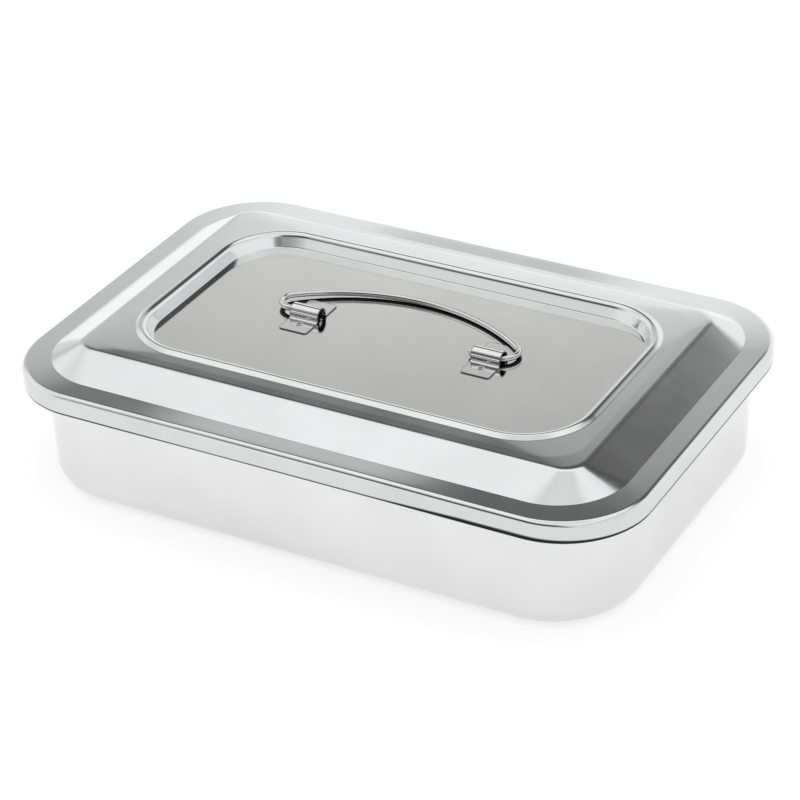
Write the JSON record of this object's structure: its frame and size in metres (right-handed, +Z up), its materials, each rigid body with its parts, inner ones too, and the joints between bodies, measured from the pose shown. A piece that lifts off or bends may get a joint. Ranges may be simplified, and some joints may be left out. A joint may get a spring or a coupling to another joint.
{
  "type": "instrument tray",
  "caption": "Shallow rounded rectangular steel instrument tray with a loose pressed lid and a folding wire handle in a sunken panel.",
  "frame": {"origin": "centre of the pan's underside", "axes": "+X along the long side, +Y towards the side on which the handle rests, +Z up"},
  "size_m": [0.2438, 0.1638, 0.0566],
  "materials": {
    "pan_steel": "polished stainless sheet, faint drawing marks",
    "lid_steel": "polished stainless sheet, satin sunken panel",
    "saddle_steel": "bright bent strip",
    "weld_steel": "dull sunken spot weld",
    "wire_steel": "bright drawn wire"
  },
  "bodies": {
    "tray": {"pan": "pan_steel"},
    "lid": {"lid_shell": "lid_steel", "left_saddle": "saddle_steel", "right_saddle": "saddle_steel", "spot_welds": "weld_steel"},
    "handle": {"bail_handle": "wire_steel"}
  },
  "joints": [
    {"name": "lid_lift", "type": "slide", "parent": "tray", "child": "lid", "axis": [0, 0, 1], "range_m": [0, 0.12]},
    {"name": "handle_fold", "type": "hinge", "parent": "lid", "child": "handle", "pos_m": [0, 0, 0.05306], "axis": [1, 0, 0], "range_deg": [0, 180]}
  ]
}
